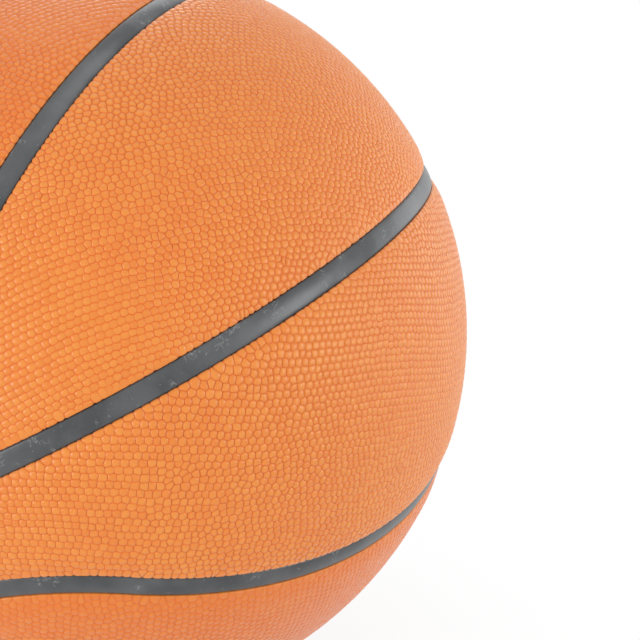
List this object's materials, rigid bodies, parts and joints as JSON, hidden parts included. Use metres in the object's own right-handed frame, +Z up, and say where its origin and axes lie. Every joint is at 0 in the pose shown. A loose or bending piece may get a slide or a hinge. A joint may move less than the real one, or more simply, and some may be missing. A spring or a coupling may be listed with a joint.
{
  "type": "basketball",
  "caption": "Inflatable ball with a pebbled composite-leather cover in panels, parted by recessed rubber channels, on a wound carcass round a bladder with a needle valve.",
  "frame": {"origin": "the ball's centre", "axes": "+Z up through the valve, +Y the way the picture's camera looks, +X to the right in the picture"},
  "size_m": [0.241, 0.2408, 0.2409],
  "materials": {
    "cover_leather": "orange composite leather with raised pebbles, satin",
    "channel_rubber": "charcoal rubber, satin",
    "carcass_rubber": "moulded rubber, matt",
    "winding_thread": "nylon thread set in latex",
    "bladder_rubber": "butyl rubber, satin",
    "valve_rubber": "moulded rubber, satin"
  },
  "bodies": {
    "root": {"bladder": "bladder_rubber", "valve_housing": "valve_rubber", "valve_plug": "valve_rubber", "balance_patch": "bladder_rubber", "thread_winding": "winding_thread", "carcass": "carcass_rubber", "channel_ring": "channel_rubber", "channel_belt_right": "channel_rubber", "channel_belt_left": "channel_rubber", "channel_loop_upper_right": "channel_rubber", "channel_loop_upper_left": "channel_rubber", "channel_loop_lower_right": "channel_rubber", "channel_loop_lower_left": "channel_rubber", "panel_cap_upper_right": "cover_leather", "panel_cap_upper_left": "cover_leather", "panel_cap_lower_right": "cover_leather", "panel_cap_lower_left": "cover_leather", "panel_belt_upper_right": "cover_leather", "panel_belt_upper_left": "cover_leather", "panel_belt_lower_right": "cover_leather", "panel_belt_lower_left": "cover_leather"}
  },
  "joints": []
}
